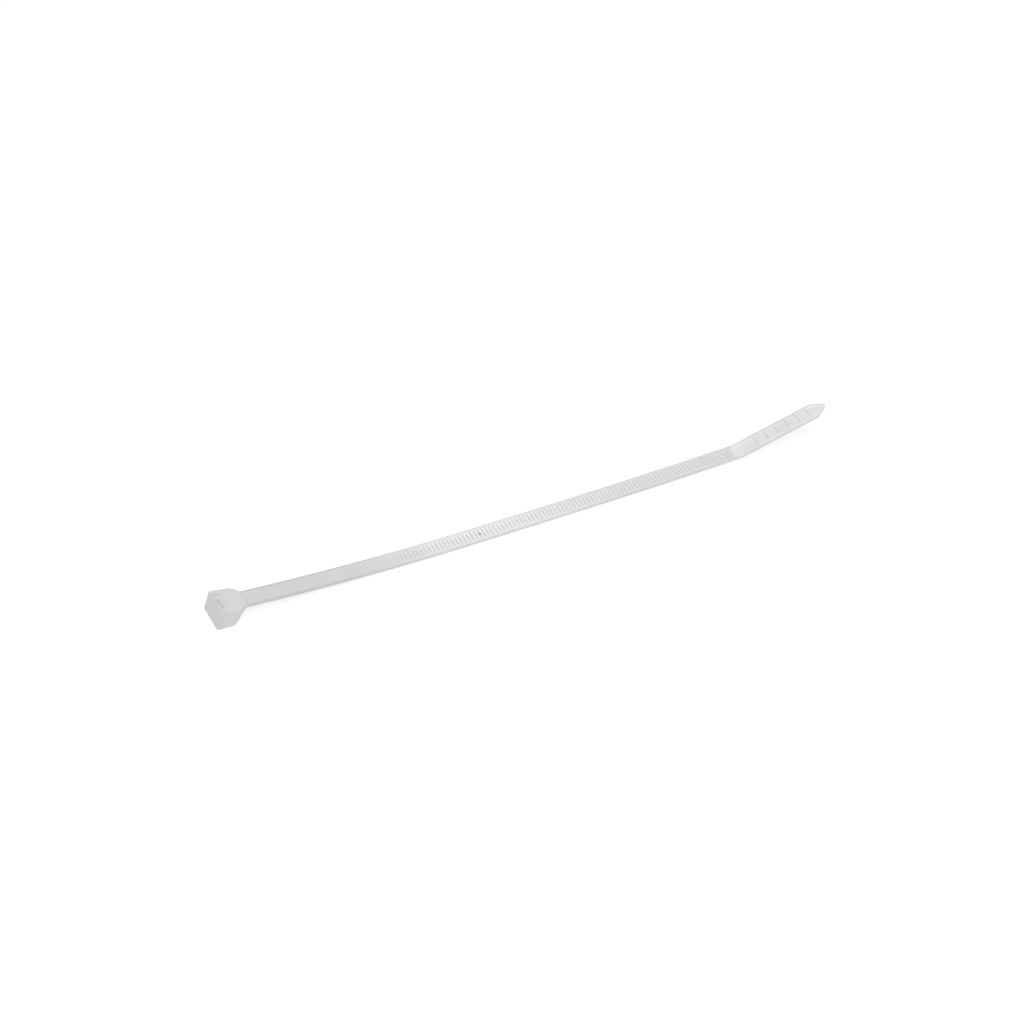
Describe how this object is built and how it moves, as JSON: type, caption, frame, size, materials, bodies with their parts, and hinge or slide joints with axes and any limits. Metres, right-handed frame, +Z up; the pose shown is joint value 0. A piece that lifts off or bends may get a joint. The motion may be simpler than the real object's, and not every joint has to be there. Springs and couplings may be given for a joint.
{
  "type": "cable tie",
  "caption": "Self-locking cable tie moulded in one piece: head with slot and pawl, long strap with a toothed channel, and a bent, ribbed tail with a pointed nose.",
  "frame": {"origin": "centre of the tie's bounding box in plan, on the surface that it lies on", "axes": "+X along the tie from the head to the tail, +Y across the strap, +Z up, out of the strap's toothed side"},
  "size_m": [0.1994, 0.0084, 0.0112],
  "materials": {
    "nylon": "natural nylon, milky and slightly translucent, satin"
  },
  "bodies": {
    "root": {"cable_tie": "nylon"}
  },
  "joints": []
}
